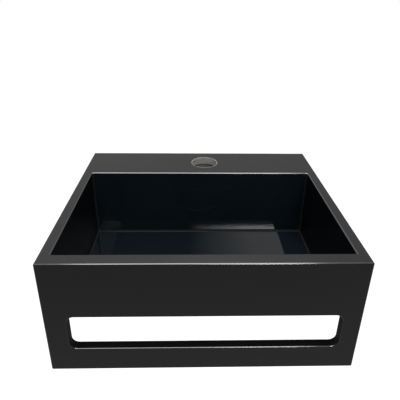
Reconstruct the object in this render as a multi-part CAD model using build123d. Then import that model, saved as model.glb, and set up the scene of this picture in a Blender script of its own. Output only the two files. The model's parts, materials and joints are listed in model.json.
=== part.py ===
from build123d import *
from math import cos, pi, radians, sin, tan
import os

# Wall-hung hand basin with a towel slot in its front apron.
# The origin lies on the wall face, midway between the two fixing holes.
# X runs along the wall, Y into the wall and Z up. Lengths are in millimetres.

# Ceramic body
body_width = 300
body_depth = 250
body_height = 128
apron_overhang = 28  # bowl's underside down to the apron's bottom
fixing_drop = 40  # rim down to the fixing holes
side_wall = 11
front_rim = 14.5
deck_depth = 66  # wall face to the bowl's rear wall
deck_thickness = 9.5
wall_rib = 10
bowl_back_wall = 11
edge_radius = 1.5

# Bowl
floor_from_front = 61  # apron's face to the floor's front edge
floor_fall = 1.5
floor_thickness = 12
slope_angle = 45
slope_wall = 10
cove_radius = 2.5

# Apron, towel slot and rail
apron_thickness = 9.5
slot_width = 260
slot_shift = 1.5  # slot's middle, to the right of the basin's
slot_height = 39.4
rail_height = 27.8
slot_corner_radius = 7
slot_edge_radius = 1.2

# Space under the deck for the tap's tail and the wall bolts
service_corner_radius = 4

# Tap hole
tap_hole_diameter = 33.5  # the rim ground round it is 35 across
tap_hole_shift = 6
tap_hole_from_wall = 32
tap_hole_bevel = 0.25

# Wall fixing
fixing_offset = 90  # middle to each fixing hole
fixing_hole_diameter = 14
wall_bolt_diameter = 10
wall_bolt_gap = 0.2
bush_gap = 0.1
bush_flange_diameter = 22
bush_flange_thickness = 2
bush_setback = 0.5  # sleeve's end short of the wall face

# Waste
waste_from_floor_front = 36
waste_hole_diameter = 46
seat_diameter = 65
seat_drop = 4  # floor's rear edge down to the seat
flange_diameter = 63
flange_thickness = 2
flange_edge_radius = 0.8
shank_diameter = 41.9
shank_bore = 34
tail_length = 10  # shank below the backnut
tail_chamfer = 0.8
relief_width = 0.8  # groove in the thread, under the backnut
relief_depth = 0.6
thread_gap = 0.05
top_washer_diameter = 60
top_washer_thickness = 1
lower_gasket_diameter = 58
lower_gasket_thickness = 3.5
slip_ring_diameter = 56
slip_ring_thickness = 1.5
nut_across_flats = 54
nut_height = 6.5
nut_chamfer = 2

# Plug
plug_diameter = 38
plug_gap = 0.4
plug_proud = 0.5  # closed cap's top above the flange
plug_travel = 7
cap_thickness = 3
cap_edge_radius = 0.8
cap_hub_diameter = 16
cap_hub_lip = 2
cap_hub_lip_thickness = 0.6
plug_seal_thickness = 1.5
plug_seal_setback = 0.3
seal_gap = 0.05
stem_diameter = 5
stem_engagement = 3.2

# Push cartridge
running_gap = 0.05
cap_to_collar_gap = 0.4
collar_head_thickness = 1.4
collar_plug_length = 1.8
wiper_thickness = 1.5
stop_gap = 0.2
piston_thickness = 2
guide_pin_diameter = 3
guide_pin_end_gap = 1
index_ring_thickness = 1.7
index_ring_gap = 0.1
index_ring_rim = 0.6
index_lug_count = 8
index_lug_width = 1
barrel_bore = 10
barrel_wall = 1.5
barrel_floor = 1
spring_closed_length = 4.5
spring_wire = 0.6
spring_turns = 3.5
spring_side_gap = 0.5

# Cross that carries the cartridge
boss_wall = 2
boss_height = 5
cross_arm_count = 3
cross_arm_width = 3
cross_arm_height = 3
spigot_diameter = 9

# Heights of the body
rim_z = fixing_drop
apron_bottom_z = rim_z - body_height
deck_under_z = rim_z - deck_thickness
under_z = apron_bottom_z + apron_overhang
floor_back_z = under_z + floor_thickness
floor_front_z = floor_back_z - floor_fall
slot_bottom_z = apron_bottom_z + rail_height
seat_z = floor_back_z - seat_drop

# Places of the body, forward of the wall being negative
front_y = -body_depth
apron_back_y = front_y + apron_thickness
bowl_front_y = front_y + front_rim
bowl_back_y = -deck_depth
floor_front_y = front_y + floor_from_front
waste_y = floor_front_y + waste_from_floor_front
bowl_width = body_width - 2 * side_wall
slope_rise = tan(radians(slope_angle))
slope_shift = slope_wall / sin(radians(slope_angle))
slope_top_z = floor_front_z + (floor_front_y - bowl_front_y) * slope_rise
outer_slope_foot_y = floor_front_y - slope_shift + (floor_front_z - under_z) / slope_rise
outer_slope_top_z = under_z + (outer_slope_foot_y - apron_back_y) * slope_rise

# Heights of the waste, from the bowl's seat downwards
flange_under_z = seat_z + top_washer_thickness
flange_top_z = flange_under_z + flange_thickness
gasket_under_z = under_z - lower_gasket_thickness
slip_ring_under_z = gasket_under_z - slip_ring_thickness
nut_under_z = slip_ring_under_z - nut_height
relief_under_z = nut_under_z - relief_width
shank_end_z = nut_under_z - tail_length

# Heights of the plug and the cartridge, with the plug closed
cap_top_z = flange_top_z + plug_proud
cap_under_z = cap_top_z - cap_thickness
plug_seal_under_z = cap_under_z - plug_seal_thickness
ledge_z = plug_seal_under_z - seal_gap
hub_under_z = plug_seal_under_z - cap_hub_lip_thickness
collar_top_z = hub_under_z - cap_to_collar_gap
barrel_top_z = collar_top_z - collar_head_thickness
collar_under_z = barrel_top_z - collar_plug_length
wiper_under_z = collar_under_z - wiper_thickness
piston_top_z = wiper_under_z - stop_gap - plug_travel
piston_under_z = piston_top_z - piston_thickness
index_ring_top_z = piston_under_z - index_ring_gap
index_ring_under_z = index_ring_top_z - index_ring_thickness
spring_top_z = index_ring_under_z - index_ring_gap
spring_foot_z = spring_top_z - spring_closed_length
boss_top_z = spring_foot_z - barrel_floor
cross_z = boss_top_z - boss_height
stem_top_z = hub_under_z + stem_engagement
waste_axis = Pos(0, waste_y, 0)

# Radii shared by the turned pieces
shank_radius = shank_diameter / 2
shank_bore_radius = shank_bore / 2
relief_radius = shank_radius - relief_depth
threaded_bore_radius = shank_radius + thread_gap
throat_radius = plug_diameter / 2 + plug_gap
barrel_radius = barrel_bore / 2 + barrel_wall
boss_bore_radius = spigot_diameter / 2 + thread_gap
boss_radius = boss_bore_radius + boss_wall
piston_radius = barrel_bore / 2 - running_gap
guide_bore_radius = guide_pin_diameter / 2 + running_gap
stem_radius = stem_diameter / 2
stem_bore_radius = stem_radius + running_gap
hub_radius = cap_hub_diameter / 2


def side_profile(points, width):
    """A solid of the given width along X, from (y, z) points of its side view."""
    return extrude(Plane.YZ * Polygon(*points, align=None), amount=width / 2, both=True)


def turned(points):
    """A solid turned about Z, from (radius, z) points of half its section."""
    return revolve(Plane.XZ * Polygon(*points, align=None), axis=Axis.Z)


def tube(outer_radius, inner_radius, low_z, high_z):
    """A plain ring about Z between two heights."""
    ring = Circle(outer_radius) - Circle(inner_radius)
    return Pos(0, 0, low_z) * extrude(ring, amount=high_z - low_z)


def rod(radius, low_z, high_z):
    """A plain cylinder about Z between two heights."""
    return Pos(0, 0, low_z) * extrude(Circle(radius), amount=high_z - low_z)


def body_block():
    """Outside of the ceramic: deck, sides, sloping front and hanging apron."""
    block = side_profile(
        [
            (0, rim_z),
            (front_y, rim_z),
            (front_y, apron_bottom_z),
            (apron_back_y, apron_bottom_z),
            (apron_back_y, outer_slope_top_z),
            (outer_slope_foot_y, under_z),
            (0, under_z),
        ],
        body_width,
    )
    free_edges = block.edges().filter_by_position(Axis.Y, front_y, -edge_radius)
    inner_corner = free_edges.filter_by(Axis.X).sort_by_distance((0, apron_back_y, outer_slope_top_z))[0]
    return fillet([edge for edge in free_edges if edge != inner_corner], edge_radius)


def bowl_space():
    """The bowl's inside, with coves along its floor."""
    space = side_profile(
        [
            (bowl_back_y, rim_z + cove_radius),
            (bowl_back_y, floor_back_z),
            (floor_front_y, floor_front_z),
            (bowl_front_y, slope_top_z),
            (bowl_front_y, rim_z + cove_radius),
        ],
        bowl_width,
    )
    low_edges = [
        edge for edge in space.edges() if edge.center().Z < slope_top_z + edge_radius
    ]
    return fillet(low_edges, cove_radius)


def service_space():
    """Room under the deck, open downwards."""
    back_y = -wall_rib
    front = bowl_back_y + bowl_back_wall
    height = deck_under_z - under_z + service_corner_radius
    space = Pos(0, (back_y + front) / 2, deck_under_z - height / 2) * Box(bowl_width, back_y - front, height)
    upright = space.edges().filter_by(Axis.Z)
    roof = space.edges().group_by(Axis.Z)[-1]
    return fillet(upright + roof, service_corner_radius)


def towel_slot():
    """The slot through the apron."""
    centre_z = slot_bottom_z + slot_height / 2
    outline = RectangleRounded(slot_width, slot_height, slot_corner_radius)
    face = Plane.XZ.offset(-apron_back_y) * (Pos(slot_shift, centre_z) * outline)
    return extrude(face, amount=2 * apron_thickness)


def fixing_places():
    """The two fixing holes, on axes that run along Y."""
    return [Pos(side * fixing_offset, 0, 0) * Rot(90, 0, 0) for side in (-1, 1)]


def basin_body():
    """The fired body in one piece."""
    body = body_block() - bowl_space() - service_space() - towel_slot()
    body -= waste_axis * rod(seat_diameter / 2, seat_z, floor_back_z)
    body -= waste_axis * rod(waste_hole_diameter / 2, under_z - edge_radius, seat_z + edge_radius)
    for place in fixing_places():
        body -= place * Cylinder(fixing_hole_diameter / 2, wall_rib * 3)
    tap_axis = Pos(tap_hole_shift, -tap_hole_from_wall, 0)
    body -= tap_axis * rod(tap_hole_diameter / 2, deck_under_z - edge_radius, rim_z + edge_radius)
    return soften_mouths(body)


def soften_mouths(body):
    """Rounds the bowl's mouth and the slot's edges, and bevels the tap hole."""
    top_edges = body.edges().filter_by_position(Axis.Z, rim_z, rim_z)
    tap_edge = top_edges.filter_by(GeomType.CIRCLE).sort_by(Axis.Y)[-1]
    body = chamfer(tap_edge, tap_hole_bevel)
    top_edges = body.edges().filter_by_position(Axis.Z, rim_z, rim_z)
    half_width = bowl_width / 2
    mouth = [
        edge for edge in top_edges.filter_by(GeomType.LINE)
        if abs(edge.center().X) <= half_width + running_gap
        and bowl_front_y - running_gap <= edge.center().Y <= bowl_back_y + running_gap
    ]
    body = fillet(mouth, edge_radius)
    for plane_y in (front_y, apron_back_y):
        face_edges = body.edges().filter_by_position(Axis.Y, plane_y, plane_y)
        rim = [
            edge for edge in face_edges
            if abs(edge.center().X - slot_shift) <= slot_width / 2 + running_gap
            and slot_bottom_z - running_gap <= edge.center().Z <= slot_bottom_z + slot_height + running_gap
        ]
        body = fillet(rim, slot_edge_radius)
    return body


def fixing_bushes():
    """Two flanged nylon bushes, one in each fixing hole."""
    bore_radius = wall_bolt_diameter / 2 + wall_bolt_gap
    sleeve_radius = fixing_hole_diameter / 2 - bush_gap
    flange_radius = bush_flange_diameter / 2
    flange_face = wall_rib + bush_flange_thickness
    bush = turned(
        [
            (bore_radius, bush_setback),
            (sleeve_radius, bush_setback),
            (sleeve_radius, wall_rib),
            (flange_radius, wall_rib),
            (flange_radius, flange_face),
            (bore_radius, flange_face),
        ]
    )
    return Compound(children=[place * bush for place in fixing_places()])


def waste_body():
    """Flange and threaded shank, with the cross that carries the cartridge."""
    flange_radius = flange_diameter / 2
    shell = turned(
        [
            (shank_bore_radius, shank_end_z),
            (shank_radius - tail_chamfer, shank_end_z),
            (shank_radius, shank_end_z + tail_chamfer),
            (shank_radius, relief_under_z),
            (relief_radius, relief_under_z),
            (relief_radius, nut_under_z),
            (shank_radius, nut_under_z),
            (shank_radius, flange_under_z),
            (flange_radius, flange_under_z),
            (flange_radius, flange_top_z),
            (throat_radius, flange_top_z),
            (throat_radius, ledge_z),
            (shank_bore_radius, ledge_z),
        ]
    )
    rim = shell.edges().filter_by_position(Axis.Z, flange_top_z, flange_top_z).sort_by(SortBy.LENGTH)[-1]
    shell = fillet(rim, flange_edge_radius)
    arm_start = boss_bore_radius + boss_wall / 2
    arm_end = (shank_bore_radius + shank_radius) / 2
    arm_middle = Pos((arm_start + arm_end) / 2, 0, cross_z + cross_arm_height / 2)
    arm = arm_middle * Box(arm_end - arm_start, cross_arm_width, cross_arm_height)
    for index in range(cross_arm_count):
        shell += Rot(0, 0, 90 + index * 360 / cross_arm_count) * arm
    return shell + tube(boss_radius, boss_bore_radius, cross_z, boss_top_z)


def waste_backnut():
    """Hexagon nut that clamps the waste from below."""
    flat_radius = nut_across_flats / 2
    corner_radius = flat_radius / cos(pi / 6)
    blank = extrude(RegularPolygon(flat_radius, 6, major_radius=False), amount=nut_height)
    turned_edges = turned(
        [
            (threaded_bore_radius, nut_under_z),
            (flat_radius, nut_under_z),
            (corner_radius, nut_under_z + nut_chamfer),
            (corner_radius, slip_ring_under_z - nut_chamfer),
            (flat_radius, slip_ring_under_z),
            (threaded_bore_radius, slip_ring_under_z),
        ]
    )
    return Pos(0, 0, nut_under_z) * blank & turned_edges


def cartridge_housing():
    """Barrel of the push mechanism, on the spigot that screws into the cross."""
    spigot_radius = spigot_diameter / 2
    bore_radius = barrel_bore / 2
    return turned(
        [
            (0, cross_z),
            (spigot_radius, cross_z),
            (spigot_radius, boss_top_z),
            (barrel_radius, boss_top_z),
            (barrel_radius, barrel_top_z),
            (bore_radius, barrel_top_z),
            (bore_radius, spring_foot_z),
            (0, spring_foot_z),
        ]
    )


def cartridge_collar():
    """Collar that closes the barrel and guides the stem."""
    plug_radius = barrel_bore / 2 - thread_gap
    return turned(
        [
            (stem_bore_radius, collar_under_z),
            (plug_radius, collar_under_z),
            (plug_radius, barrel_top_z),
            (barrel_radius, barrel_top_z),
            (barrel_radius, collar_top_z),
            (stem_bore_radius, collar_top_z),
        ]
    )


def cartridge_spring():
    """Compression spring, as short as it is with the plug closed."""
    coil_radius = barrel_bore / 2 - spring_side_gap - spring_wire / 2
    coil_height = spring_closed_length - spring_wire
    path = Helix(coil_height / spring_turns, coil_height, coil_radius)
    wire = Plane(path @ 0, z_dir=path % 0) * Circle(spring_wire / 2)
    return Pos(0, 0, spring_foot_z + spring_wire / 2) * sweep(wire, path, is_frenet=True)


def index_ring():
    """Ring on the plunger's pin, with lugs that run in the barrel."""
    ring = tube(piston_radius - index_ring_rim, guide_bore_radius, index_ring_under_z, index_ring_top_z)
    lug_length = 2 * index_ring_rim
    lug_middle = Pos(piston_radius - index_ring_rim, 0, (index_ring_under_z + index_ring_top_z) / 2)
    lug = lug_middle * Box(lug_length, index_lug_width, index_ring_thickness)
    lug &= rod(piston_radius, index_ring_under_z, index_ring_top_z)
    for index in range(index_lug_count):
        ring += Rot(0, 0, index * 360 / index_lug_count) * lug
    return ring


def plug_plunger():
    """Stem and piston, with the pin that the index ring turns on."""
    pin_radius = guide_pin_diameter / 2
    pin_under_z = spring_foot_z + guide_pin_end_gap
    return turned(
        [
            (0, pin_under_z),
            (pin_radius, pin_under_z),
            (pin_radius, piston_under_z),
            (piston_radius, piston_under_z),
            (piston_radius, piston_top_z),
            (stem_radius, piston_top_z),
            (stem_radius, stem_top_z),
            (0, stem_top_z),
        ]
    )


def plug_cap():
    """Round cap, with a lipped hub that holds its seal and takes the stem."""
    cap_radius = plug_diameter / 2
    lip_radius = hub_radius + cap_hub_lip
    hole_radius = stem_radius + thread_gap
    hole_top_z = stem_top_z + thread_gap
    cap = turned(
        [
            (hole_radius, hub_under_z),
            (lip_radius, hub_under_z),
            (lip_radius, plug_seal_under_z),
            (hub_radius, plug_seal_under_z),
            (hub_radius, cap_under_z),
            (cap_radius, cap_under_z),
            (cap_radius, cap_top_z),
            (0, cap_top_z),
            (0, hole_top_z),
            (hole_radius, hole_top_z),
        ]
    )
    rim = cap.edges().filter_by_position(Axis.Z, cap_top_z, cap_top_z).sort_by(SortBy.LENGTH)[-1]
    return fillet(rim, cap_edge_radius)


def waste_rings():
    """The plain rings of the waste, the plug and the cartridge, by name."""
    plug_seal_radius = plug_diameter / 2 - plug_seal_setback
    return {
        "waste_top_washer": tube(top_washer_diameter / 2, threaded_bore_radius, seat_z, flange_under_z),
        "waste_lower_gasket": tube(lower_gasket_diameter / 2, threaded_bore_radius, gasket_under_z, under_z),
        "waste_slip_ring": tube(slip_ring_diameter / 2, threaded_bore_radius, slip_ring_under_z, gasket_under_z),
        "cartridge_seal": tube(piston_radius, stem_bore_radius, wiper_under_z, collar_under_z),
        "plug_seal": tube(plug_seal_radius, hub_radius + seal_gap, plug_seal_under_z, cap_under_z),
    }


def basin_pieces():
    """Every piece in its place, by name."""
    pieces = {
        "basin_body": basin_body(),
        "fixing_bushes": fixing_bushes(),
    }
    waste_pieces = {
        "waste_body": waste_body(),
        "waste_backnut": waste_backnut(),
        "cartridge_housing": cartridge_housing(),
        "cartridge_collar": cartridge_collar(),
        "cartridge_spring": cartridge_spring(),
        "index_ring": index_ring(),
        "plug_plunger": plug_plunger(),
        "plug_cap": plug_cap(),
        **waste_rings(),
    }
    for name, piece in waste_pieces.items():
        pieces[name] = waste_axis * piece
    return pieces


def main():
    os.makedirs("parts", exist_ok=True)
    for name, piece in basin_pieces().items():
        export_step(piece, f"parts/{name}.step")


if __name__ == "__main__":
    main()
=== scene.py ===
"""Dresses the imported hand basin: glazed body, waste, push cartridge and plug, with a plain studio."""
import json
from math import cos, pi, radians, sin, tau

import bmesh
import bpy
from bpy.props import FloatProperty, FloatVectorProperty, IntProperty, PointerProperty
from mathutils import Matrix, Vector


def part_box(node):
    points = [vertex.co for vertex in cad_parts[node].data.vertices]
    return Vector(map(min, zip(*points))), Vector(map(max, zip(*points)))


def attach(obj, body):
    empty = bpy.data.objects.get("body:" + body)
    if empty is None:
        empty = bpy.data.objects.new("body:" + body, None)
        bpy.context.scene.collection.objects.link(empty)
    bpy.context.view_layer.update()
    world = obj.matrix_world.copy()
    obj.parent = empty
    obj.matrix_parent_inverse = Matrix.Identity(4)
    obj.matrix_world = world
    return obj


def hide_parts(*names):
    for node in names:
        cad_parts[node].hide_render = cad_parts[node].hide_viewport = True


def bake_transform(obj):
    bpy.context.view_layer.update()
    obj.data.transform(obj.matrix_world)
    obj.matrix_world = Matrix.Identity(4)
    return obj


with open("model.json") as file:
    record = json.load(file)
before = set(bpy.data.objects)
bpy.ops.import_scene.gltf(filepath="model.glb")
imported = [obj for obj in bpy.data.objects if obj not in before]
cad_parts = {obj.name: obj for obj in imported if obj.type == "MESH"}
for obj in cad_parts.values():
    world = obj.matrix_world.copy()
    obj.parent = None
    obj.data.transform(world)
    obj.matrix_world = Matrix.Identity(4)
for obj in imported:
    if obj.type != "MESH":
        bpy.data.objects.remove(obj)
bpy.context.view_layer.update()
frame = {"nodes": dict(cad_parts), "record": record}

bl_info = {
    "name": "Hand Basin",
    "version": (1, 0, 0),
    "blender": (4, 5, 0),
    "location": "View3D > Sidebar > Basin",
    "description": "Finishes and fine pieces of a wall-hung hand basin with a towel slot",
    "category": "Object",
}

MM = 0.001
BODY_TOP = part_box("basin_body")[1][2]
CROSS_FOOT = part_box("cartridge_housing")[0][2]
WASTE_LOW, WASTE_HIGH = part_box("waste_body")
GASKET_LOW, GASKET_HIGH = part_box("waste_lower_gasket")
SEAL_LOW, SEAL_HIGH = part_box("plug_seal")
SPRING_LOW, SPRING_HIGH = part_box("cartridge_spring")
WASTE_X = (WASTE_LOW[0] + WASTE_HIGH[0]) / 2
WASTE_Y = (WASTE_LOW[1] + WASTE_HIGH[1]) / 2

# The finish of each material slot in the record
FINISHES = {
    "black_glaze": "fired_black_glaze",
    "black_metal": "satin_black_metal",
    "brass": "turned_brass",
    "spring_steel": "drawn_spring_steel",
    "black_rubber": "moulded_black_rubber",
    "white_nylon": "moulded_white_nylon",
}
SLOTS = {part["node"]: part["material_slot"] for part in frame["record"]["subparts"]}

BLACK = (0, 0, 0, 1)
WHITE = (1, 1, 1, 1)

# Layout of a node tree
NODE_COLUMNS = 8
NODE_WIDTH = 220
NODE_HEIGHT = 260

# A Mix node's first input, second input and output, by what it mixes
MIX_SOCKETS = {"FLOAT": (2, 3, 0), "RGBA": (6, 7, 2)}


# Settings

class BodySettings(bpy.types.PropertyGroup):
    """Colours, gloss and places of the ceramic body's finish."""

    glaze_colour: FloatVectorProperty(
        name="Glaze", description="Colour of the black glaze outside",
        subtype="COLOR", size=3, min=0, max=1, default=(0.0036, 0.0044, 0.0036),
    )
    # Lighter colour along the edges: partly thin glaze, partly a painted highlight for the light that the
    # rounded arrises catch.
    thin_glaze_and_highlight_colour: FloatVectorProperty(
        name="Thin Glaze and Highlight", description="Colour of the glaze where it runs thin, along the edges",
        subtype="COLOR", size=3, min=0, max=1, default=(0.045, 0.042, 0.039),
    )
    bowl_colour: FloatVectorProperty(
        name="Bowl Glaze", description="Colour of the thicker, bluer glaze in the bowl",
        subtype="COLOR", size=3, min=0, max=1, default=(0.0061, 0.01, 0.0134),
    )
    clay_colour: FloatVectorProperty(
        name="Bare Clay", description="Colour of the clay where no glaze covers it",
        subtype="COLOR", size=3, min=0, max=1, default=(0.33, 0.315, 0.295),
    )
    outer_roughness: FloatProperty(
        name="Outer Roughness", description="Roughness of the satin glaze outside",
        default=0.3, min=0.02, max=1,
    )
    edge_roughness: FloatProperty(
        name="Edge Roughness", description="Roughness of the glaze along the outer edges",
        default=0.14, min=0.02, max=1,
    )
    bowl_roughness: FloatProperty(
        name="Bowl Roughness",
        description="Roughness of the glossier glaze on the bowl's floor and rear wall",
        default=0.03, min=0.02, max=1,
    )
    side_roughness: FloatProperty(
        name="Side Roughness", description="Roughness of the glaze on the bowl's side and front walls",
        default=0.32, min=0.02, max=1,
    )
    cove_roughness: FloatProperty(
        name="Cove Roughness", description="Roughness of the glaze in the bowl's rounded corners",
        default=0.9, min=0.02, max=1,
    )
    slot_roughness: FloatProperty(
        name="Slot Roughness", description="Roughness of the thin glaze at the towel slot's ends",
        default=0.7, min=0.02, max=1,
    )
    clay_roughness: FloatProperty(
        name="Clay Roughness", description="Roughness of the bare clay",
        default=0.8, min=0.02, max=1,
    )
    # Painted shade: how far the base colour is blended to black on the bowl's side and front walls, in
    # its coves and at the towel slot's ends.
    painted_shade_strength: FloatProperty(
        name="Painted Shade",
        description="How much darker the bowl's side walls and the slot's ends are",
        default=0.9, min=0, max=1,
    )
    tap_hole_x: FloatProperty(
        name="Tap Hole Across", description="Tap hole's axis, from the middle",
        unit="LENGTH", default=6 * MM,
    )
    tap_hole_y: FloatProperty(
        name="Tap Hole Along", description="Tap hole's axis, from the wall",
        unit="LENGTH", default=-32 * MM,
    )
    ground_radius: FloatProperty(
        name="Ground Radius", description="Outer radius of the ring ground round the tap hole",
        unit="LENGTH", default=17.5 * MM,
    )
    slot_half_width: FloatProperty(
        name="Slot Half Width", description="From the middle to just past the towel slot's farther end",
        unit="LENGTH", default=133.0 * MM,
    )
    slot_top: FloatProperty(
        name="Slot Top", description="Top of the towel slot",
        unit="LENGTH", default=-20.6 * MM,
    )
    slot_back: FloatProperty(
        name="Slot Back", description="Rear face of the apron, from the wall face",
        unit="LENGTH", default=-240.3 * MM,
    )
    deck_underside: FloatProperty(
        name="Deck Underside", description="Underside of the deck, where the glaze stops",
        unit="LENGTH", default=30.5 * MM,
    )
    service_front: FloatProperty(
        name="Service Front", description="Front of the space under the deck, from the wall face",
        unit="LENGTH", default=-57 * MM,
    )
    bowl_half_width: FloatProperty(
        name="Bowl Half Width", description="From the middle to the bowl's side walls",
        unit="LENGTH", default=139 * MM,
    )
    bowl_back: FloatProperty(
        name="Bowl Back", description="Bowl's rear wall, from the wall face",
        unit="LENGTH", default=-66 * MM,
    )
    bowl_front: FloatProperty(
        name="Bowl Front", description="Bowl's front wall at the rim, from the wall face",
        unit="LENGTH", default=-235.5 * MM,
    )
    bowl_floor: FloatProperty(
        name="Bowl Floor", description="Lowest place of the bowl's floor",
        unit="LENGTH", default=-50 * MM,
    )


class WasteSettings(bpy.types.PropertyGroup):
    """Sizes of the waste's turned, threaded, moulded and wound forms."""

    shank_diameter: FloatProperty(
        name="Shank", description="Outer diameter of the shank's thread",
        unit="LENGTH", default=41.9 * MM,
    )
    shank_bore: FloatProperty(
        name="Bore", description="Bore of the shank",
        unit="LENGTH", default=34 * MM,
    )
    throat_diameter: FloatProperty(
        name="Throat", description="Bore of the flange round the plug",
        unit="LENGTH", default=38.8 * MM,
    )
    flange_thickness: FloatProperty(
        name="Flange", description="Thickness of the flange at its rim",
        unit="LENGTH", default=2 * MM,
    )
    thread_pitch: FloatProperty(
        name="Pitch", description="Pitch of the pipe thread, eleven turns to the inch",
        unit="LENGTH", default=2.309 * MM,
    )
    thread_depth: FloatProperty(
        name="Thread Depth", description="Depth of the thread's grooves",
        unit="LENGTH", default=1.2 * MM,
    )
    running_gap: FloatProperty(
        name="Running Gap",
        description="Clearance of the gasket's bore and of the plug's seal on its ledge",
        unit="LENGTH", default=0.05 * MM,
    )
    arm_count: IntProperty(
        name="Arms", description="Number of the cross's arms", default=3, min=1,
    )
    arm_width: FloatProperty(
        name="Arm Width", description="Width and height of the cross's arms",
        unit="LENGTH", default=3 * MM,
    )
    boss_diameter: FloatProperty(
        name="Boss", description="Outer diameter of the cross's boss",
        unit="LENGTH", default=13.1 * MM,
    )
    boss_bore: FloatProperty(
        name="Boss Bore", description="Bore of the cross's boss",
        unit="LENGTH", default=9.1 * MM,
    )
    boss_height: FloatProperty(
        name="Boss Height", description="Height of the cross's boss",
        unit="LENGTH", default=5 * MM,
    )
    seal_bore: FloatProperty(
        name="Seal Bore", description="Bore of the plug's seal, round the cap's hub",
        unit="LENGTH", default=16.1 * MM,
    )
    wire_diameter: FloatProperty(
        name="Spring Wire", description="Diameter of the spring's wire",
        unit="LENGTH", default=0.6 * MM,
    )
    spring_turns: FloatProperty(
        name="Spring Turns", description="Turns of the spring",
        default=3.5, min=1,
    )
    spring_diameter: FloatProperty(
        name="Spring", description="Outer diameter of the spring",
        unit="LENGTH", default=9 * MM,
    )


class StudioSettings(bpy.types.PropertyGroup):
    """Camera, lamps, room and ground."""

    camera_place: FloatVectorProperty(
        name="Camera", description="Place of the camera",
        subtype="TRANSLATION", size=3, default=(-0.0146, -0.5353, 0.2643),
    )
    camera_yaw: FloatProperty(
        name="Yaw", description="Turn of the camera to the left",
        subtype="ANGLE", default=radians(-1.666),
    )
    camera_pitch: FloatProperty(
        name="Pitch", description="Tilt of the camera downwards",
        subtype="ANGLE", default=radians(23.681),
    )
    camera_roll: FloatProperty(
        name="Roll", description="Roll of the camera",
        subtype="ANGLE", default=radians(0.826),
    )
    camera_lens: FloatProperty(
        name="Lens", description="Focal length on a 36 mm sensor, in millimetres", default=36.269,
    )
    camera_shift: FloatProperty(
        name="Shift", description="Vertical shift of the picture", default=-0.1,
    )
    ground_level: FloatProperty(
        name="Ground", description="Height of the ground, below a basin hung at hand height",
        unit="LENGTH", default=-0.85,
    )
    ground_reach: FloatProperty(
        name="Ground Reach", description="From the middle of the ground to its sides",
        unit="LENGTH", default=7.0,
    )
    ground_colour: FloatVectorProperty(
        name="Ground Colour", description="Colour of the pale ground",
        subtype="COLOR", size=3, min=0, max=1, default=(0.45, 0.45, 0.45),
    )
    ground_seen: FloatProperty(
        name="Ground Seen", description="What is added to the ground's own light where it is seen",
        default=0.88, min=0,
    )
    ground_mirrored: FloatProperty(
        name="Ground Mirrored",
        description="What is added to the ground's own light where it is mirrored",
        default=0.02, min=0,
    )
    room_level: FloatProperty(
        name="Room Light", description="Even light from all round", default=0.28, min=0,
    )
    mirrored_low: FloatProperty(
        name="Mirrored Low",
        description="Level of the pale room that a glossy face mirrors low down",
        default=0.4, min=0,
    )
    mirrored_high: FloatProperty(
        name="Mirrored High",
        description="Level of the pale room that a glossy face mirrors overhead",
        default=1.05, min=0,
    )
    mirrored_horizon: FloatProperty(
        name="Mirrored Horizon",
        description="Rise of a direction, 0 level and 1 upright, where the mirrored room grows paler",
        default=0.36, min=0, max=1,
    )
    mirrored_tilt: FloatProperty(
        name="Mirrored Tilt",
        description="How much paler the mirrored room is to the left than in the middle",
        default=0.36, min=0, max=1,
    )
    mirrored_front: FloatProperty(
        name="Mirrored Front",
        description="Share of that level in the room's darker half, in front of the basin",
        default=0.25, min=0, max=1,
    )
    ceiling_power: FloatProperty(
        name="Ceiling Softbox", description="Power of the softbox overhead, in watts",
        default=20.0, min=0,
    )
    ceiling_size: FloatVectorProperty(
        name="Ceiling Size", description="Width and length of the softbox overhead",
        unit="LENGTH", size=2, default=(1.0, 2.0),
    )
    ceiling_place: FloatVectorProperty(
        name="Ceiling Place", description="Middle of the softbox overhead",
        subtype="TRANSLATION", size=3, default=(0.0, -0.2, 1.3),
    )
    front_power: FloatProperty(
        name="Front Softbox",
        description="Power of the softbox at the front right, in watts, if it were even",
        default=163.9, min=0,
    )
    front_size: FloatVectorProperty(
        name="Front Size", description="Width and length of the softbox at the front right",
        unit="LENGTH", size=2, default=(2.3, 2.1),
    )
    front_place: FloatVectorProperty(
        name="Front Place", description="Middle of the softbox at the front right",
        subtype="TRANSLATION", size=3, default=(0.73, -5.62, 4.0),
    )
    front_dark: FloatProperty(
        name="Front Dark", description="Width of the front softbox's dark left end",
        unit="LENGTH", default=0.42,
    )
    front_fade: FloatProperty(
        name="Front Fade", description="Width over which the front softbox dims towards its dark end",
        unit="LENGTH", default=1.1,
    )
    front_band: FloatProperty(
        name="Front Band", description="Width of the brighter band along the front softbox's far edge",
        unit="LENGTH", default=0.18,
    )
    front_gain: FloatProperty(
        name="Front Gain", description="How many times brighter that band is", default=3.2, min=1,
    )
    front_blur: FloatProperty(
        name="Front Blur", description="Half the width over which that band's inner edge fades",
        unit="LENGTH", default=0.01,
    )


# Node helpers

def feed(tree, socket, value):
    """Links an output to a socket, or sets the socket to a number or a colour."""
    if isinstance(value, bpy.types.NodeSocket):
        tree.links.new(value, socket)
    else:
        socket.default_value = value


def put(tree, kind, **inputs):
    """Adds a node and feeds its named sockets; a word's underscores stand for spaces."""
    node = tree.nodes.new(kind)
    row, column = divmod(len(tree.nodes), NODE_COLUMNS)
    node.location = (NODE_WIDTH * column, -NODE_HEIGHT * row)
    for name, value in inputs.items():
        feed(tree, node.inputs[name.replace("_", " ")], value)
    return node


def maths(tree, operation, first, second=None, clamp=False):
    """A Math node on outputs or numbers, and its output."""
    node = put(tree, "ShaderNodeMath")
    node.operation = operation
    node.use_clamp = clamp
    feed(tree, node.inputs[0], first)
    if second is not None:
        feed(tree, node.inputs[1], second)
    return node.outputs[0]


def fold(tree, operation, values):
    """Takes up several outputs, one after the other, in Math nodes, and gives the last one's output."""
    result = values[0]
    for value in values[1:]:
        result = maths(tree, operation, result, value)
    return result


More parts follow.
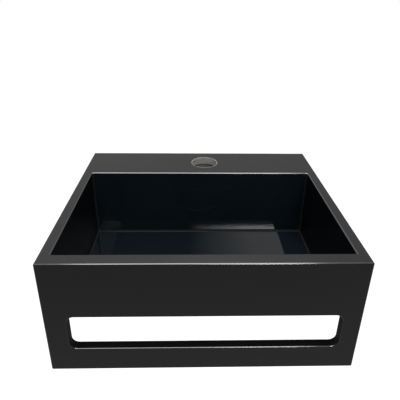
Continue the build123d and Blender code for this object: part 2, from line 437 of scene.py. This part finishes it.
def split(tree, vector):
    """The X, Y and Z of a vector."""
    node = put(tree, "ShaderNodeSeparateXYZ", Vector=vector)
    return [node.outputs[axis] for axis in ("X", "Y", "Z")]


def radius_of(tree, across, along):
    """Distance from an axis, from the distances across and along."""
    squares = [maths(tree, "MULTIPLY", part, part) for part in (across, along)]
    return maths(tree, "SQRT", fold(tree, "ADD", squares))


def ramp(tree, value, low, high, out_low=0.0, out_high=1.0):
    """A clamped Map Range node from one span to another, and its output."""
    node = put(
        tree, "ShaderNodeMapRange",
        Value=value, From_Min=low, From_Max=high, To_Min=out_low, To_Max=out_high,
    )
    return node.outputs["Result"]


def below(tree, value, limit, border):
    """Mask of the values up to a limit, which fades over a border past it."""
    return ramp(tree, value, limit, limit + border, 1.0, 0.0)


def above(tree, value, limit, border):
    """Mask of the values from a limit on, which fades over a border short of it."""
    return ramp(tree, value, limit - border, limit)


def blend(tree, kind, share, first, second):
    """A Mix node by a share from 0 to 1, and its output."""
    node = put(tree, "ShaderNodeMix")
    node.data_type = kind
    feed(tree, node.inputs[0], share)
    first_socket, second_socket, result = MIX_SOCKETS[kind]
    feed(tree, node.inputs[first_socket], first)
    feed(tree, node.inputs[second_socket], second)
    return node.outputs[result]


def blend_colour(tree, share, first, second):
    """A mix of two colours."""
    return blend(tree, "RGBA", share, first, second)


def blend_value(tree, share, first, second):
    """A mix of two numbers."""
    return blend(tree, "FLOAT", share, first, second)


def rgba(colour, factor=1.0):
    """A colour with its alpha, made lighter or darker by a factor."""
    return tuple(min(1.0, part * factor) for part in colour) + (1.0,)


def two_tone(tree, share, colour, darker, lighter):
    """A colour that goes from a darker to a lighter shade of itself."""
    return blend_colour(tree, share, rgba(colour, darker), rgba(colour, lighter))


def ray_masks(tree):
    """Masks of the camera's rays, and of mirrored and transmitted ones."""
    path = put(tree, "ShaderNodeLightPath")
    mirrored = maths(tree, "MAXIMUM", path.outputs["Is Glossy Ray"], path.outputs["Is Transmission Ray"])
    return path.outputs["Is Camera Ray"], mirrored


def new_group(name, inputs, outputs):
    """An empty shader group with named sockets, and its two end nodes."""
    group = bpy.data.node_groups.new(name, "ShaderNodeTree")
    for label, kind, value in inputs:
        socket = group.interface.new_socket(name=label, in_out="INPUT", socket_type=kind)
        if value is not None:
            socket.default_value = value
    for label, kind in outputs:
        group.interface.new_socket(name=label, in_out="OUTPUT", socket_type=kind)
    return group, put(group, "NodeGroupInput"), put(group, "NodeGroupOutput")


def use_group(tree, name, **values):
    """Places a shader group in a material with its own values."""
    node = put(tree, "ShaderNodeGroup")
    node.node_tree = bpy.data.node_groups[name]
    for label, value in values.items():
        feed(tree, node.inputs[label.replace("_", " ")], value)
    return node


# Effects that several finishes share

def edge_mask_group():
    """Mask of the outer and inner edges within a radius."""
    group, start, end = new_group(
        "Edge Mask",
        [("Radius", "NodeSocketFloat", 0.8 * MM), ("Strength", "NodeSocketFloat", 6.0)],
        [("Mask", "NodeSocketFloat")],
    )
    bevel = put(group, "ShaderNodeBevel", Radius=start.outputs["Radius"])
    bevel.samples = 6
    facing = put(group, "ShaderNodeVectorMath")
    facing.operation = "DOT_PRODUCT"
    feed(group, facing.inputs[0], bevel.outputs["Normal"])
    feed(group, facing.inputs[1], put(group, "ShaderNodeNewGeometry").outputs["Normal"])
    turned_away = maths(group, "SUBTRACT", 1.0, facing.outputs["Value"])
    mask = maths(group, "MULTIPLY", turned_away, start.outputs["Strength"], clamp=True)
    feed(group, end.inputs["Mask"], mask)


def surface_grain_group():
    """Fine grain for bump, with a broad cloud for colour and gloss."""
    group, start, end = new_group(
        "Surface Grain",
        [
            ("Vector", "NodeSocketVector", None),
            ("Grain Scale", "NodeSocketFloat", 1200.0),
            ("Cloud Scale", "NodeSocketFloat", 18.0),
        ],
        [("Grain", "NodeSocketFloat"), ("Cloud", "NodeSocketFloat")],
    )
    for label, detail in (("Grain", 3.0), ("Cloud", 4.0)):
        noise = put(
            group, "ShaderNodeTexNoise", Vector=start.outputs["Vector"],
            Scale=start.outputs[label + " Scale"], Detail=detail, Roughness=0.55,
        )
        feed(group, end.inputs[label], noise.outputs["Fac"])


def turned_lines_group():
    """Lines that a lathe leaves round the waste's axis, on flat and round faces alike."""
    group, start, end = new_group(
        "Turned Lines",
        [("Vector", "NodeSocketVector", None), ("Pitch", "NodeSocketFloat", 0.12 * MM)],
        [("Lines", "NodeSocketFloat")],
    )
    centred = put(
        group, "ShaderNodeMapping", Vector=start.outputs["Vector"], Location=(-WASTE_X, -WASTE_Y, 0),
    )
    x, y, z = split(group, centred.outputs["Vector"])
    along = maths(group, "ADD", radius_of(group, x, y), z)
    noise = put(group, "ShaderNodeTexNoise", Scale=1.0, Detail=2.0)
    noise.noise_dimensions = "1D"
    feed(group, noise.inputs["W"], maths(group, "DIVIDE", along, start.outputs["Pitch"]))
    feed(group, end.inputs["Lines"], noise.outputs["Fac"])


# Finishes

def new_finish(name):
    """Starts a material, and gives its tree, its shader and the object's own coordinates."""
    finish = bpy.data.materials.new(name)
    if finish.name != name:
        raise RuntimeError(f"there is already a material named {name}")
    finish.use_nodes = True
    tree = finish.node_tree
    tree.nodes.clear()
    shader = put(tree, "ShaderNodeBsdfPrincipled")
    put(tree, "ShaderNodeOutputMaterial", Surface=shader.outputs["BSDF"])
    place = put(tree, "ShaderNodeTexCoord").outputs["Object"]
    return tree, shader, place


def raise_surface(tree, shader, height, distance):
    """Feeds a height through a Bump node to the shader's normal."""
    bump = put(tree, "ShaderNodeBump", Height=height, Strength=1.0, Distance=distance)
    feed(tree, shader.inputs["Normal"], bump.outputs["Normal"])


def body_places(tree, place):
    """Where a point of the body lies and how its surface faces, as named outputs."""
    x, y, z = split(tree, place)
    facing = split(tree, put(tree, "ShaderNodeTexCoord").outputs["Normal"])
    square_on = [maths(tree, "ABSOLUTE", part) for part in facing]
    return {
        "x": x,
        "y": y,
        "z": z,
        "from_middle": maths(tree, "ABSOLUTE", x),
        "facing_side": square_on[0],
        "facing_wall": facing[1],
        "facing_up": facing[2],
        "squareness": fold(tree, "MAXIMUM", square_on),
    }


def clay_mask(tree, settings, at, cloud):
    """Bare clay on the wall face, in the tap hole, on its ground ring and under the deck."""
    ragged = maths(tree, "MULTIPLY", cloud, 2.4 * MM)
    wall_face = above(tree, maths(tree, "ADD", at["y"], ragged), limit=0.9 * MM, border=0.7 * MM)
    across = maths(tree, "SUBTRACT", at["x"], settings.tap_hole_x)
    along = maths(tree, "SUBTRACT", at["y"], settings.tap_hole_y)
    ring = below(
        tree, radius_of(tree, across, along), limit=settings.ground_radius - 0.05 * MM, border=0.15 * MM,
    )
    border = 0.4 * MM
    under_deck = fold(tree, "MULTIPLY", [
        above(tree, at["y"], settings.service_front + border / 2, border),
        below(tree, at["z"], settings.deck_underside, border),
        below(tree, at["from_middle"], settings.bowl_half_width, border),
    ])
    return fold(tree, "MAXIMUM", [wall_face, ring, under_deck])


def bowl_mask(tree, settings, at):
    """Inside of the bowl, short of its rim."""
    border = 0.5 * MM
    return fold(tree, "MULTIPLY", [
        below(tree, at["from_middle"], settings.bowl_half_width, border),
        below(tree, at["y"], settings.bowl_back, border),
        above(tree, at["y"], settings.bowl_front, border),
        below(tree, at["z"], BODY_TOP - 3 * border, 2 * border),
        above(tree, at["z"], settings.bowl_floor, border),
        above(tree, at["facing_up"], limit=-0.1, border=0.2),
    ])


def slot_mask(tree, settings, at):
    """Towel slot's ends, with their rounded edges."""
    border = 0.4 * MM
    return fold(tree, "MULTIPLY", [
        below(tree, at["from_middle"], settings.slot_half_width, border),
        below(tree, at["y"], settings.slot_back, border / 2),
        below(tree, at["z"], settings.slot_top, border),
        above(tree, at["facing_side"], limit=0.7, border=0.4),
    ])


def glaze_finish(settings):
    """Black glaze, satin outside and glossier in the bowl, with bare clay where none covers the body;
    painted shade on the bowl's sides, coves and slot ends, and a lighter edge colour that is partly thin
    glaze and partly painted highlight.
    """
    tree, shader, place = new_finish(FINISHES["black_glaze"])
    textures = use_group(tree, "Surface Grain", Vector=place, Grain_Scale=900.0, Cloud_Scale=14.0)
    grain, cloud = textures.outputs["Grain"], textures.outputs["Cloud"]
    edge_mask = use_group(tree, "Edge Mask", Radius=1.6 * MM, Strength=3.0).outputs["Mask"]
    at = body_places(tree, place)
    clay = clay_mask(tree, settings, at, cloud)
    bowl = bowl_mask(tree, settings, at)
    slot_ends = slot_mask(tree, settings, at)
    bowl_sides = fold(tree, "MAXIMUM", [
        above(tree, at["facing_side"], limit=0.95, border=0.15),
        above(tree, at["facing_wall"], limit=0.8, border=0.3),
    ])
    rounded = below(tree, at["squareness"], limit=0.9, border=0.085)
    coves = maths(tree, "MULTIPLY", rounded, bowl)
    dull = maths(tree, "MAXIMUM", bowl, slot_ends)
    outer_edges = maths(tree, "MULTIPLY", rounded, maths(tree, "SUBTRACT", 1.0, dull))

    # Colour
    thin_and_highlight_share = 0.35
    tint = ramp(tree, cloud, low=0.35, high=0.65)
    outside = two_tone(tree, tint, settings.glaze_colour, darker=0.88, lighter=1.12)
    inside = two_tone(tree, tint, settings.bowl_colour, darker=0.9, lighter=1.1)
    # Painted shade: the bowl's side and front walls, its coves and the towel slot's ends are blended
    # towards black, darker than the same glaze elsewhere.
    painted_shade_places = maths(tree, "MAXIMUM", bowl_sides, coves)
    shade_blend = settings.painted_shade_strength
    outside = blend_colour(tree, maths(tree, "MULTIPLY", slot_ends, shade_blend), outside, BLACK)
    inside = blend_colour(tree, maths(tree, "MULTIPLY", painted_shade_places, shade_blend), inside, BLACK)
    glaze = blend_colour(tree, bowl, outside, inside)
    # Along the edges the colour turns lighter: partly thin glaze, partly a painted highlight for the
    # light caught by the arrises.
    thin = maths(tree, "MULTIPLY", edge_mask, thin_and_highlight_share)
    thinned_and_highlighted = blend_colour(tree, thin, glaze, rgba(settings.thin_glaze_and_highlight_colour))
    speckled = ramp(tree, grain, low=0.3, high=0.7)
    clay_tone = two_tone(tree, speckled, settings.clay_colour, darker=0.8, lighter=1.25)
    feed(tree, shader.inputs["Base Color"], blend_colour(tree, clay, thinned_and_highlighted, clay_tone))

    # Gloss
    gloss_spread, edge_share = 0.03, 0.7
    outer = ramp(
        tree, cloud, low=0.3, high=0.7,
        out_low=settings.outer_roughness - gloss_spread, out_high=settings.outer_roughness + gloss_spread,
    )
    inner = blend_value(tree, bowl_sides, settings.bowl_roughness, settings.side_roughness)
    roughness = blend_value(tree, bowl, outer, inner)
    for mask, level in (
        (slot_ends, settings.slot_roughness),
        (maths(tree, "MULTIPLY", outer_edges, edge_share), settings.edge_roughness),
        (coves, settings.cove_roughness),
        (clay, settings.clay_roughness),
    ):
        roughness = blend_value(tree, mask, roughness, level)
    feed(tree, shader.inputs["Roughness"], roughness)
    coated = maths(tree, "MULTIPLY", outer_edges, maths(tree, "SUBTRACT", 1.0, clay))
    feed(tree, shader.inputs["Coat Weight"], coated)
    shader.inputs["Coat IOR"].default_value = 2.1
    shader.inputs["Coat Roughness"].default_value = 0.1

    # Relief: fine grain, coarser on the clay, and the glaze's orange peel
    glaze_grain, clay_grain, peel_height = 0.12, 3.0, 0.35
    peel = put(tree, "ShaderNodeTexNoise", Vector=place, Scale=160.0, Detail=1.0).outputs["Fac"]
    height = fold(tree, "ADD", [
        maths(tree, "MULTIPLY", grain, glaze_grain),
        maths(tree, "MULTIPLY", maths(tree, "MULTIPLY", grain, clay), clay_grain),
        maths(tree, "MULTIPLY", peel, peel_height),
    ])
    raise_surface(tree, shader, height, distance=0.02 * MM)


def metal_finish(name, colour, dull, worn, roughness, line_depth):
    """Turned metal: lathe lines, a dull cloud and rubbed edges."""
    rubbed_share, line_share = 0.7, 0.35
    tree, shader, place = new_finish(FINISHES[name])
    cloud = use_group(
        tree, "Surface Grain", Vector=place, Grain_Scale=1600.0, Cloud_Scale=70.0,
    ).outputs["Cloud"]
    edge_mask = use_group(tree, "Edge Mask", Radius=0.35 * MM, Strength=5.0).outputs["Mask"]
    lines = use_group(tree, "Turned Lines", Vector=place, Pitch=0.14 * MM).outputs["Lines"]
    body = blend_colour(tree, ramp(tree, cloud, low=0.35, high=0.7), rgba(colour), rgba(dull))
    rubbed = blend_colour(tree, maths(tree, "MULTIPLY", edge_mask, rubbed_share), body, rgba(worn))
    feed(tree, shader.inputs["Base Color"], rubbed)
    clouded = ramp(
        tree, cloud, low=0.3, high=0.75, out_low=roughness * 0.8, out_high=roughness * 1.35,
    )
    streaks = maths(tree, "MULTIPLY", lines, roughness * line_share)
    feed(tree, shader.inputs["Roughness"], maths(tree, "ADD", clouded, streaks))
    raise_surface(tree, shader, lines, line_depth)
    shader.inputs["Metallic"].default_value = 1.0


def soft_finish(name, colour, worn, roughness, grain_scale, grain_depth):
    """Moulded rubber or plastic: fine grain, a faint cloud and rubbed edges."""
    rubbed_share, gloss_spread = 0.5, 0.06
    tree, shader, place = new_finish(FINISHES[name])
    textures = use_group(tree, "Surface Grain", Vector=place, Grain_Scale=grain_scale, Cloud_Scale=55.0)
    grain = textures.outputs["Grain"]
    edge_mask = use_group(tree, "Edge Mask", Radius=0.4 * MM, Strength=4.0).outputs["Mask"]
    tint = ramp(tree, textures.outputs["Cloud"], low=0.3, high=0.7)
    body = two_tone(tree, tint, colour, darker=0.93, lighter=1.05)
    rubbed = blend_colour(tree, maths(tree, "MULTIPLY", edge_mask, rubbed_share), body, rgba(worn))
    feed(tree, shader.inputs["Base Color"], rubbed)
    grained = ramp(
        tree, grain, low=0.25, high=0.75,
        out_low=roughness - gloss_spread, out_high=roughness + gloss_spread,
    )
    feed(tree, shader.inputs["Roughness"], grained)
    raise_surface(tree, shader, grain, grain_depth)


# Mesh helpers

def finished(shape, name, body, replaced, sharp=radians(35)):
    """Turns a bmesh into a smooth piece that stands for a CAD node, with that node's finish."""
    mesh = bpy.data.meshes.new(name)
    bmesh.ops.recalc_face_normals(shape, faces=shape.faces)
    shape.to_mesh(mesh)
    shape.free()
    mesh.shade_smooth()
    mesh.set_sharp_from_angle(angle=sharp)
    mesh.materials.append(bpy.data.materials[FINISHES[SLOTS[replaced]]])
    piece = bpy.data.objects.new(name, mesh)
    bpy.context.scene.collection.objects.link(piece)
    if body:
        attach(piece, body)
    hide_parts(replaced)
    return piece


def dress(node):
    """Gives a CAD node its finish."""
    piece = frame["nodes"][node]
    if not piece.material_slots:
        piece.data.materials.append(None)
    for place in piece.material_slots:
        place.material = bpy.data.materials[FINISHES[SLOTS[node]]]


def outline(shape, points):
    """A closed ring of edges from (radius, height) points, in a plane through the waste's axis."""
    corners = [shape.verts.new((WASTE_X + radius, WASTE_Y, height)) for radius, height in points]
    return corners + [shape.edges.new((corners[i - 1], corners[i])) for i in range(len(corners))]


def spin_round(shape, ring, steps):
    """Spins a closed outline once round the waste's axis."""
    bmesh.ops.spin(
        shape, geom=ring, cent=(WASTE_X, WASTE_Y, 0), axis=(0, 0, 1), dvec=(0, 0, 0),
        angle=tau, steps=steps, use_merge=True,
    )


def helix(shape, ring, turns, rise, steps_per_turn):
    """Spins a closed outline up or down a helix, and closes both its ends."""
    steps = round(turns * steps_per_turn)
    bmesh.ops.spin(
        shape, geom=ring, cent=(WASTE_X, WASTE_Y, 0), axis=(0, 0, 1), dvec=(0, 0, rise / steps),
        angle=tau * turns, steps=steps, use_merge=False,
    )
    open_edges = [edge for edge in shape.edges if edge.is_boundary]
    bmesh.ops.holes_fill(shape, edges=open_edges, sides=0)


def soften(shape, edges, width, segments=2):
    """Rounds edges by a width."""
    bmesh.ops.bevel(
        shape, geom=edges, offset=width, affect="EDGES", segments=segments, profile=0.5, material=-1,
    )


def sharp_edges(shape, angle=radians(40)):
    """Edges where two faces meet at more than an angle."""
    return [edge for edge in shape.edges if edge.is_manifold and edge.calc_face_angle(0.0) > angle]


def at_height(edge, height, tolerance=0.01 * MM):
    """Whether both ends of an edge lie at a height."""
    return all(abs(corner.co.z - height) < tolerance for corner in edge.verts)


def join(shape, other):
    """Adds another bmesh's faces to a shape."""
    scratch = bpy.data.meshes.new("scratch")
    other.to_mesh(scratch)
    other.free()
    shape.from_mesh(scratch)
    bpy.data.meshes.remove(scratch)


# Pieces

def soft_ring(name, low, high, bore, rounding, crown, body, replaced):
    """A moulded ring with rounded corners and a slightly swollen rim."""
    rim = (high[0] - low[0]) / 2
    middle = (low[2] + high[2]) / 2
    points = [
        (bore / 2, low[2]), (rim - crown, low[2]),
        (rim, middle),
        (rim - crown, high[2]), (bore / 2, high[2]),
    ]
    shape = bmesh.new()
    spin_round(shape, outline(shape, points), steps=96)
    soften(shape, sharp_edges(shape), width=rounding, segments=3)
    return finished(shape, name, body, replaced)


def turn_waste(shape, sizes):
    """Flange, throat and plain core of the waste."""
    bore = sizes.shank_bore / 2
    throat = sizes.throat_diameter / 2
    crest = sizes.shank_diameter / 2
    root = crest - sizes.thread_depth
    rim = (WASTE_HIGH[0] - WASTE_LOW[0]) / 2
    foot = WASTE_LOW[2]
    neck = GASKET_HIGH[2]
    top = WASTE_HIGH[2]
    under = top - sizes.flange_thickness
    ledge = SEAL_LOW[2] - sizes.running_gap
    points = [
        (bore, foot), (root, foot), (root, neck), (crest, neck), (crest, under),
        (rim, under), (rim, top), (throat, top), (throat, ledge), (bore, ledge),
    ]
    spin_round(shape, outline(shape, points), steps=128)
    top_edges = [edge for edge in sharp_edges(shape) if at_height(edge, top)]
    soften(shape, top_edges, width=0.45 * MM, segments=3)


def add_cross(shape, sizes):
    """Boss on its arms, which carries the push cartridge."""
    inner = sizes.boss_bore / 2
    outer = sizes.boss_diameter / 2
    boss_top = CROSS_FOOT + sizes.boss_height
    points = [(inner, CROSS_FOOT), (outer, CROSS_FOOT), (outer, boss_top), (inner, boss_top)]
    cross = bmesh.new()
    spin_round(cross, outline(cross, points), steps=48)

    # Each arm runs from the middle of the boss's wall to the middle of the shank's
    start = (inner + outer) / 2
    reach = (sizes.shank_bore + sizes.shank_diameter - 2 * sizes.thread_depth) / 4
    for index in range(sizes.arm_count):
        corners = bmesh.ops.create_cube(cross, size=1.0)["verts"]
        turn = Matrix.Rotation(pi / 2 + index * tau / sizes.arm_count, 3, "Z")
        middle = ((start + reach) / 2, 0, CROSS_FOOT + sizes.arm_width / 2)
        bmesh.ops.scale(cross, vec=(reach - start, sizes.arm_width, sizes.arm_width), verts=corners)
        bmesh.ops.translate(cross, vec=middle, verts=corners)
        bmesh.ops.rotate(cross, cent=(0, 0, 0), matrix=turn, verts=corners)
        bmesh.ops.translate(cross, vec=(WASTE_X, WASTE_Y, 0), verts=corners)
    soften(cross, sharp_edges(cross), width=0.3 * MM)
    join(shape, cross)


def add_thread(shape, sizes):
    """The shank's thread, as one ridge that winds down from the gasket and runs out at the end."""
    pitch = sizes.thread_pitch
    crest = sizes.shank_diameter / 2
    buried = crest - sizes.thread_depth - 0.1 * MM
    shoulder = crest - 0.12 * MM
    foot_half, shoulder_half, crest_half = 0.46 * pitch, 0.1 * pitch, 0.05 * pitch
    start = GASKET_HIGH[2] - pitch / 2
    end = WASTE_LOW[2] + pitch / 2
    points = [
        (buried, start - foot_half), (shoulder, start - shoulder_half), (crest, start - crest_half),
        (crest, start + crest_half), (shoulder, start + shoulder_half), (buried, start + foot_half),
    ]
    ridge = bmesh.new()
    turns = (start - end) / pitch
    helix(ridge, outline(ridge, points), turns, rise=end - start, steps_per_turn=48)

    # Over its last turn the ridge sinks into the core
    gone = WASTE_LOW[2] + 0.1 * pitch
    for corner in ridge.verts:
        offset = Vector((corner.co.x - WASTE_X, corner.co.y - WASTE_Y))
        share = max(0.0, min(1.0, (corner.co.z - gone) / pitch))
        limit = buried + (crest - buried) * share
        if offset.length > limit:
            offset *= limit / offset.length
            corner.co.x, corner.co.y = WASTE_X + offset.x, WASTE_Y + offset.y
    join(shape, ridge)


def wind_spring(sizes, wire_sides=12):
    """The spring's round wire, wound between its two ends."""
    radius = sizes.wire_diameter / 2
    coil = sizes.spring_diameter / 2 - radius
    foot = SPRING_LOW[2] + radius
    rise = SPRING_HIGH[2] - SPRING_LOW[2] - sizes.wire_diameter
    angles = [step * tau / wire_sides for step in range(wire_sides)]
    points = [(coil + radius * cos(angle), foot + radius * sin(angle)) for angle in angles]
    shape = bmesh.new()
    helix(shape, outline(shape, points), sizes.spring_turns, rise, steps_per_turn=40)
    return finished(shape, "wound_spring", None, "cartridge_spring")


# Studio

def lay_ground(scene, studio):
    """A wide pale floor, far enough below for a basin at hand height."""
    shape = bmesh.new()
    bmesh.ops.create_grid(shape, x_segments=8, y_segments=8, size=studio.ground_reach)
    bmesh.ops.translate(shape, vec=(0, 0, studio.ground_level), verts=shape.verts)
    mesh = bpy.data.meshes.new("ground")
    shape.to_mesh(mesh)
    shape.free()
    tree, shader, place = new_finish("pale_ground")
    cloud = use_group(
        tree, "Surface Grain", Vector=place, Grain_Scale=60.0, Cloud_Scale=2.0,
    ).outputs["Cloud"]
    tone = two_tone(tree, cloud, studio.ground_colour, darker=0.99, lighter=1.01)
    feed(tree, shader.inputs["Base Color"], tone)
    shader.inputs["Roughness"].default_value = 0.9
    seen, mirrored = ray_masks(tree)
    glow = maths(
        tree, "ADD",
        maths(tree, "MULTIPLY", seen, studio.ground_seen),
        maths(tree, "MULTIPLY", mirrored, studio.ground_mirrored),
    )
    shader.inputs["Emission Color"].default_value = WHITE
    feed(tree, shader.inputs["Emission Strength"], glow)
    mesh.materials.append(bpy.data.materials["pale_ground"])
    ground = bpy.data.objects.new("ground", mesh)
    scene.collection.objects.link(ground)


def light_room(scene, studio):
    """An even room: white where it is seen, pale where it is mirrored, and a plain level of light."""
    world = bpy.data.worlds.new("studio_room")
    scene.world = world
    world.use_nodes = True
    tree = world.node_tree
    tree.nodes.clear()
    to_right, to_wall, to_ceiling = split(tree, put(tree, "ShaderNodeTexCoord").outputs["Generated"])
    pale = fold(tree, "MULTIPLY", [
        ramp(
            tree, to_ceiling, low=studio.mirrored_horizon, high=1.0,
            out_low=studio.mirrored_low, out_high=studio.mirrored_high,
        ),
        ramp(
            tree, to_right, low=-1.0, high=1.0,
            out_low=1.0 + studio.mirrored_tilt, out_high=1.0 - studio.mirrored_tilt,
        ),
        ramp(tree, to_wall, low=-0.5, high=0.0, out_low=studio.mirrored_front, out_high=1.0),
    ])
    seen, mirrored = ray_masks(tree)
    unseen = blend_value(tree, mirrored, studio.room_level, pale)
    room = put(tree, "ShaderNodeBackground", Color=WHITE, Strength=blend_value(tree, seen, unseen, 1.0))
    put(tree, "ShaderNodeOutputWorld", Surface=room.outputs["Background"])


def hang_softbox(scene, name, power, size, place):
    """A rectangular lamp that faces down."""
    lamp = bpy.data.lights.new(name, "AREA")
    lamp.shape = "RECTANGLE"
    lamp.size, lamp.size_y = size
    lamp.energy = power
    holder = bpy.data.objects.new(name, lamp)
    holder.location = place
    scene.collection.objects.link(holder)
    return lamp


def grade_front(lamp, studio):
    """Dims the front softbox towards its dark left end, and brightens its far edge."""
    lamp.use_nodes = True
    tree = lamp.node_tree
    tree.nodes.clear()
    x, y = split(tree, put(tree, "ShaderNodeNewGeometry").outputs["Position"])[:2]
    left = studio.front_place[0] - studio.front_size[0] / 2 + studio.front_dark
    far = studio.front_place[1] - studio.front_size[1] / 2
    fade = ramp(tree, x, left, left + studio.front_fade)
    edge = far + studio.front_band
    band = ramp(
        tree, y, edge - studio.front_blur, edge + studio.front_blur,
        out_low=studio.front_gain, out_high=1.0,
    )
    glow = put(tree, "ShaderNodeEmission", Strength=maths(tree, "MULTIPLY", fade, band))
    put(tree, "ShaderNodeOutputLight", Surface=glow.outputs["Emission"])


def place_camera(scene, studio):
    """The camera at the photograph's viewing angle."""
    yaw, pitch, roll = studio.camera_yaw, studio.camera_pitch, studio.camera_roll
    forward = Vector((-sin(yaw) * cos(pitch), cos(yaw) * cos(pitch), -sin(pitch)))
    level = Vector((cos(yaw), sin(yaw), 0))
    above_level = level.cross(forward)
    right = cos(roll) * level + sin(roll) * above_level
    up = cos(roll) * above_level - sin(roll) * level
    axes = Matrix((right, up, -forward)).transposed().to_4x4()
    eye = bpy.data.cameras.new("view_camera")
    eye.sensor_width = 36
    eye.lens = studio.camera_lens
    eye.shift_y = studio.camera_shift
    eye.clip_start = 0.01
    holder = bpy.data.objects.new("view_camera", eye)
    holder.matrix_world = Matrix.Translation(studio.camera_place) @ axes
    scene.collection.objects.link(holder)
    scene.camera = holder


# Operators

class BASIN_OT_finishes(bpy.types.Operator):
    """Makes the shared effects and the six finishes"""

    bl_idname = "basin.finishes"
    bl_label = "Finishes"

    def execute(self, context):
        edge_mask_group()
        surface_grain_group()
        turned_lines_group()
        glaze_finish(context.scene.basin_body)
        metal_finish(
            "black_metal", colour=(0.03, 0.03, 0.031), dull=(0.022, 0.022, 0.023),
            worn=(0.15, 0.14, 0.13), roughness=0.3, line_depth=0.003 * MM,
        )
        metal_finish(
            "brass", colour=(0.72, 0.53, 0.27), dull=(0.5, 0.35, 0.17),
            worn=(0.85, 0.63, 0.33), roughness=0.26, line_depth=0.006 * MM,
        )
        metal_finish(
            "spring_steel", colour=(0.55, 0.56, 0.57), dull=(0.42, 0.43, 0.45),
            worn=(0.66, 0.67, 0.68), roughness=0.28, line_depth=0.003 * MM,
        )
        soft_finish(
            "black_rubber", colour=(0.04, 0.04, 0.042), worn=(0.09, 0.09, 0.09),
            roughness=0.78, grain_scale=1500.0, grain_depth=0.03 * MM,
        )
        soft_finish(
            "white_nylon", colour=(0.8, 0.79, 0.75), worn=(0.88, 0.87, 0.84),
            roughness=0.42, grain_scale=900.0, grain_depth=0.012 * MM,
        )
        return {"FINISHED"}


class BASIN_OT_body(bpy.types.Operator):
    """Glazes the ceramic body"""

    bl_idname = "basin.body"
    bl_label = "Ceramic Body"

    def execute(self, context):
        dress("basin_body")
        return {"FINISHED"}


class BASIN_OT_bushes(bpy.types.Operator):
    """Finishes the two fixing bushes"""

    bl_idname = "basin.bushes"
    bl_label = "Fixing Bushes"

    def execute(self, context):
        dress("fixing_bushes")
        return {"FINISHED"}


class BASIN_OT_waste(bpy.types.Operator):
    """Turns the waste with its thread and cross, and finishes its rings and nut"""

    bl_idname = "basin.waste"
    bl_label = "Waste"

    def execute(self, context):
        sizes = context.scene.basin_waste
        shape = bmesh.new()
        turn_waste(shape, sizes)
        add_cross(shape, sizes)
        add_thread(shape, sizes)
        finished(shape, "threaded_waste", "basin", "waste_body")
        soft_ring(
            "moulded_gasket", GASKET_LOW, GASKET_HIGH, bore=sizes.shank_diameter + 2 * sizes.running_gap,
            rounding=0.5 * MM, crown=0.5 * MM, body="basin", replaced="waste_lower_gasket",
        )
        for node in ("waste_top_washer", "waste_slip_ring", "waste_backnut"):
            dress(node)
        return {"FINISHED"}


class BASIN_OT_cartridge(bpy.types.Operator):
    """Finishes the push cartridge and winds its spring"""

    bl_idname = "basin.cartridge"
    bl_label = "Push Cartridge"

    def execute(self, context):
        for node in ("cartridge_housing", "cartridge_collar", "cartridge_seal", "index_ring"):
            dress(node)
        spring = wind_spring(context.scene.basin_waste)
        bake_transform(spring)
        return {"FINISHED"}


class BASIN_OT_plug(bpy.types.Operator):
    """Finishes the plug's cap and stem, and moulds its seal"""

    bl_idname = "basin.plug"
    bl_label = "Plug"

    def execute(self, context):
        for node in ("plug_cap", "plug_plunger"):
            dress(node)
        soft_ring(
            "moulded_plug_seal", SEAL_LOW, SEAL_HIGH, bore=context.scene.basin_waste.seal_bore,
            rounding=0.3 * MM, crown=0.35 * MM, body="plug", replaced="plug_seal",
        )
        return {"FINISHED"}


class BASIN_OT_studio(bpy.types.Operator):
    """Lays the pale ground, hangs the softboxes and sets the camera"""

    bl_idname = "basin.studio"
    bl_label = "Studio"

    def execute(self, context):
        scene = context.scene
        studio = scene.basin_studio
        lay_ground(scene, studio)
        light_room(scene, studio)
        hang_softbox(
            scene, "ceiling_softbox", studio.ceiling_power, studio.ceiling_size, studio.ceiling_place,
        )
        front = hang_softbox(
            scene, "front_softbox", studio.front_power, studio.front_size, studio.front_place,
        )
        grade_front(front, studio)
        place_camera(scene, studio)
        scene.view_settings.view_transform = "Standard"
        return {"FINISHED"}


class BASIN_PT_panel(bpy.types.Panel):
    """Lists the basin's settings and steps"""

    bl_idname = "BASIN_PT_panel"
    bl_label = "Hand Basin"
    bl_space_type = "VIEW_3D"
    bl_region_type = "UI"
    bl_category = "Basin"

    def draw(self, context):
        layout = self.layout
        for name in SETTINGS:
            group = getattr(context.scene, name)
            box = layout.box()
            for key in group.bl_rna.properties.keys():
                if key not in {"rna_type", "name"}:
                    box.prop(group, key)
        for operator in STEPS:
            layout.operator(operator.bl_idname)


SETTINGS = {"basin_body": BodySettings, "basin_waste": WasteSettings, "basin_studio": StudioSettings}
STEPS = [
    BASIN_OT_finishes, BASIN_OT_body, BASIN_OT_bushes, BASIN_OT_waste,
    BASIN_OT_cartridge, BASIN_OT_plug, BASIN_OT_studio,
]


def register():
    for group in SETTINGS.values():
        bpy.utils.register_class(group)
    for name, group in SETTINGS.items():
        setattr(bpy.types.Scene, name, PointerProperty(type=group))
    for operator in STEPS:
        bpy.utils.register_class(operator)
    bpy.utils.register_class(BASIN_PT_panel)


def unregister():
    bpy.utils.unregister_class(BASIN_PT_panel)
    for operator in reversed(STEPS):
        bpy.utils.unregister_class(operator)
    for name, group in reversed(SETTINGS.items()):
        delattr(bpy.types.Scene, name)
        bpy.utils.unregister_class(group)


def main():
    register()
    bpy.ops.basin.finishes()
    bpy.ops.basin.body()
    bpy.ops.basin.bushes()
    bpy.ops.basin.waste()
    bpy.ops.basin.cartridge()
    bpy.ops.basin.plug()
    bpy.ops.basin.studio()


if __name__ == "__main__":
    main()
